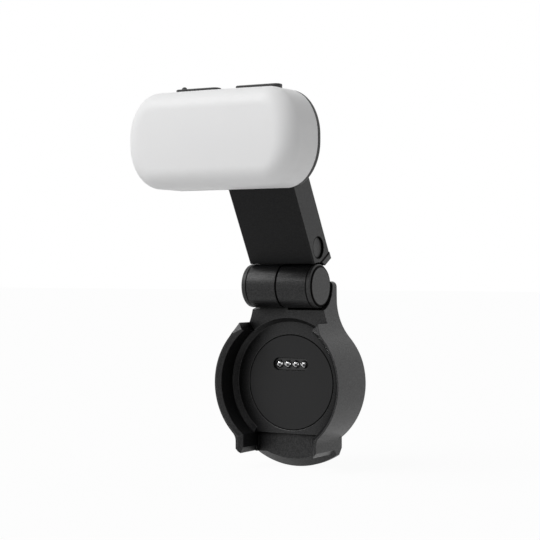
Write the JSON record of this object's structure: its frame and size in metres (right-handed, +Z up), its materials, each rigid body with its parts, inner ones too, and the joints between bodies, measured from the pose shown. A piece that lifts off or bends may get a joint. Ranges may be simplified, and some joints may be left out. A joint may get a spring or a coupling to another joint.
{
  "type": "camera fill light",
  "caption": "Clip-on fill light: round motor clamp with sprung contacts, friction hinge, leaning arm and white diffuser head with two keys.",
  "frame": {"origin": "on the axis of the motor clamp, on the seat's front face", "axes": "+Z up towards the light, -Y out of the clamp's mouth, +X to the right seen from the front"},
  "size_m": [0.049, 0.0529, 0.1001],
  "materials": {
    "body_black": "fine grain",
    "cover_black": "smooth satin",
    "block_black": "satin",
    "circuit_board": "solder mask",
    "screw_steel": "plated",
    "lead_black": "matte",
    "shaft_steel": "turned",
    "washer_black": "matte",
    "washer_steel": "ground",
    "cap_black": "fine grain",
    "arm_black": "fine grain",
    "flex_amber": "film",
    "shell_black": "fine grain",
    "diffuser_white": "frosted",
    "board_white": "solder mask",
    "spreader_aluminium": "rolled",
    "led_yellow": "cast resin",
    "tray_white": "white",
    "key_black": "fine grain",
    "switch_metal": "stamped",
    "pin_plated": "polished plating",
    "spring_steel": "drawn wire"
  },
  "bodies": {
    "clamp": {"clamp_body": "body_black", "contact_cover": "cover_black", "contact_block": "block_black", "contact_board": "circuit_board", "board_screws": "screw_steel", "lower_lead": "lead_black", "hinge_shaft": "shaft_steel", "shaft_lead": "lead_black", "seam_washer": "washer_black", "friction_washers": "washer_steel", "shaft_nut": "shaft_steel", "left_end_cap": "cap_black", "contact_spring_1": "spring_steel", "contact_spring_2": "spring_steel", "contact_spring_3": "spring_steel", "contact_spring_4": "spring_steel"},
    "arm": {"arm_knuckle": "body_black", "right_end_cap": "cap_black", "arm_shell": "arm_black", "arm_back_cover": "arm_black", "arm_cross_screw": "screw_steel", "cross_screw_nut": "screw_steel", "arm_plugs": "cap_black", "arm_flex": "flex_amber", "arm_screws": "screw_steel", "back_shell": "shell_black", "diffuser": "diffuser_white", "led_board": "board_white", "heat_spreader": "spreader_aluminium", "leds": "led_yellow", "reflector_tray": "tray_white", "head_screws": "screw_steel", "key_board": "circuit_board", "key_switches": "switch_metal"},
    "power_key_body": {"power_key": "key_black"},
    "mode_key_body": {"mode_key": "key_black"},
    "contact_pin_1_body": {"contact_pin_1": "pin_plated"},
    "contact_pin_2_body": {"contact_pin_2": "pin_plated"},
    "contact_pin_3_body": {"contact_pin_3": "pin_plated"},
    "contact_pin_4_body": {"contact_pin_4": "pin_plated"}
  },
  "joints": [
    {"name": "arm_hinge", "type": "hinge", "parent": "clamp", "child": "arm", "pos_m": [0, -0.0027, 0.0261], "axis": [1, 0, 0], "range_deg": [-22, 95]},
    {"name": "power_key_press", "type": "slide", "parent": "arm", "child": "power_key_body", "axis": [0, 0, -1], "range_m": [0, 0.0005], "stiffness_N_per_m": 600, "springref_m": -0.0005},
    {"name": "mode_key_press", "type": "slide", "parent": "arm", "child": "mode_key_body", "axis": [0, 0, -1], "range_m": [0, 0.0005], "stiffness_N_per_m": 600, "springref_m": -0.0005},
    {"name": "contact_pin_1_press", "type": "slide", "parent": "clamp", "child": "contact_pin_1_body", "axis": [0, 1, 0], "range_m": [0, 0.0006], "stiffness_N_per_m": 500, "springref_m": -0.0006, "deforming": ["contact_spring_1"]},
    {"name": "contact_pin_2_press", "type": "slide", "parent": "clamp", "child": "contact_pin_2_body", "axis": [0, 1, 0], "range_m": [0, 0.0006], "stiffness_N_per_m": 500, "springref_m": -0.0006, "deforming": ["contact_spring_2"]},
    {"name": "contact_pin_3_press", "type": "slide", "parent": "clamp", "child": "contact_pin_3_body", "axis": [0, 1, 0], "range_m": [0, 0.0006], "stiffness_N_per_m": 500, "springref_m": -0.0006, "deforming": ["contact_spring_3"]},
    {"name": "contact_pin_4_press", "type": "slide", "parent": "clamp", "child": "contact_pin_4_body", "axis": [0, 1, 0], "range_m": [0, 0.0006], "stiffness_N_per_m": 500, "springref_m": -0.0006, "deforming": ["contact_spring_4"]}
  ]
}
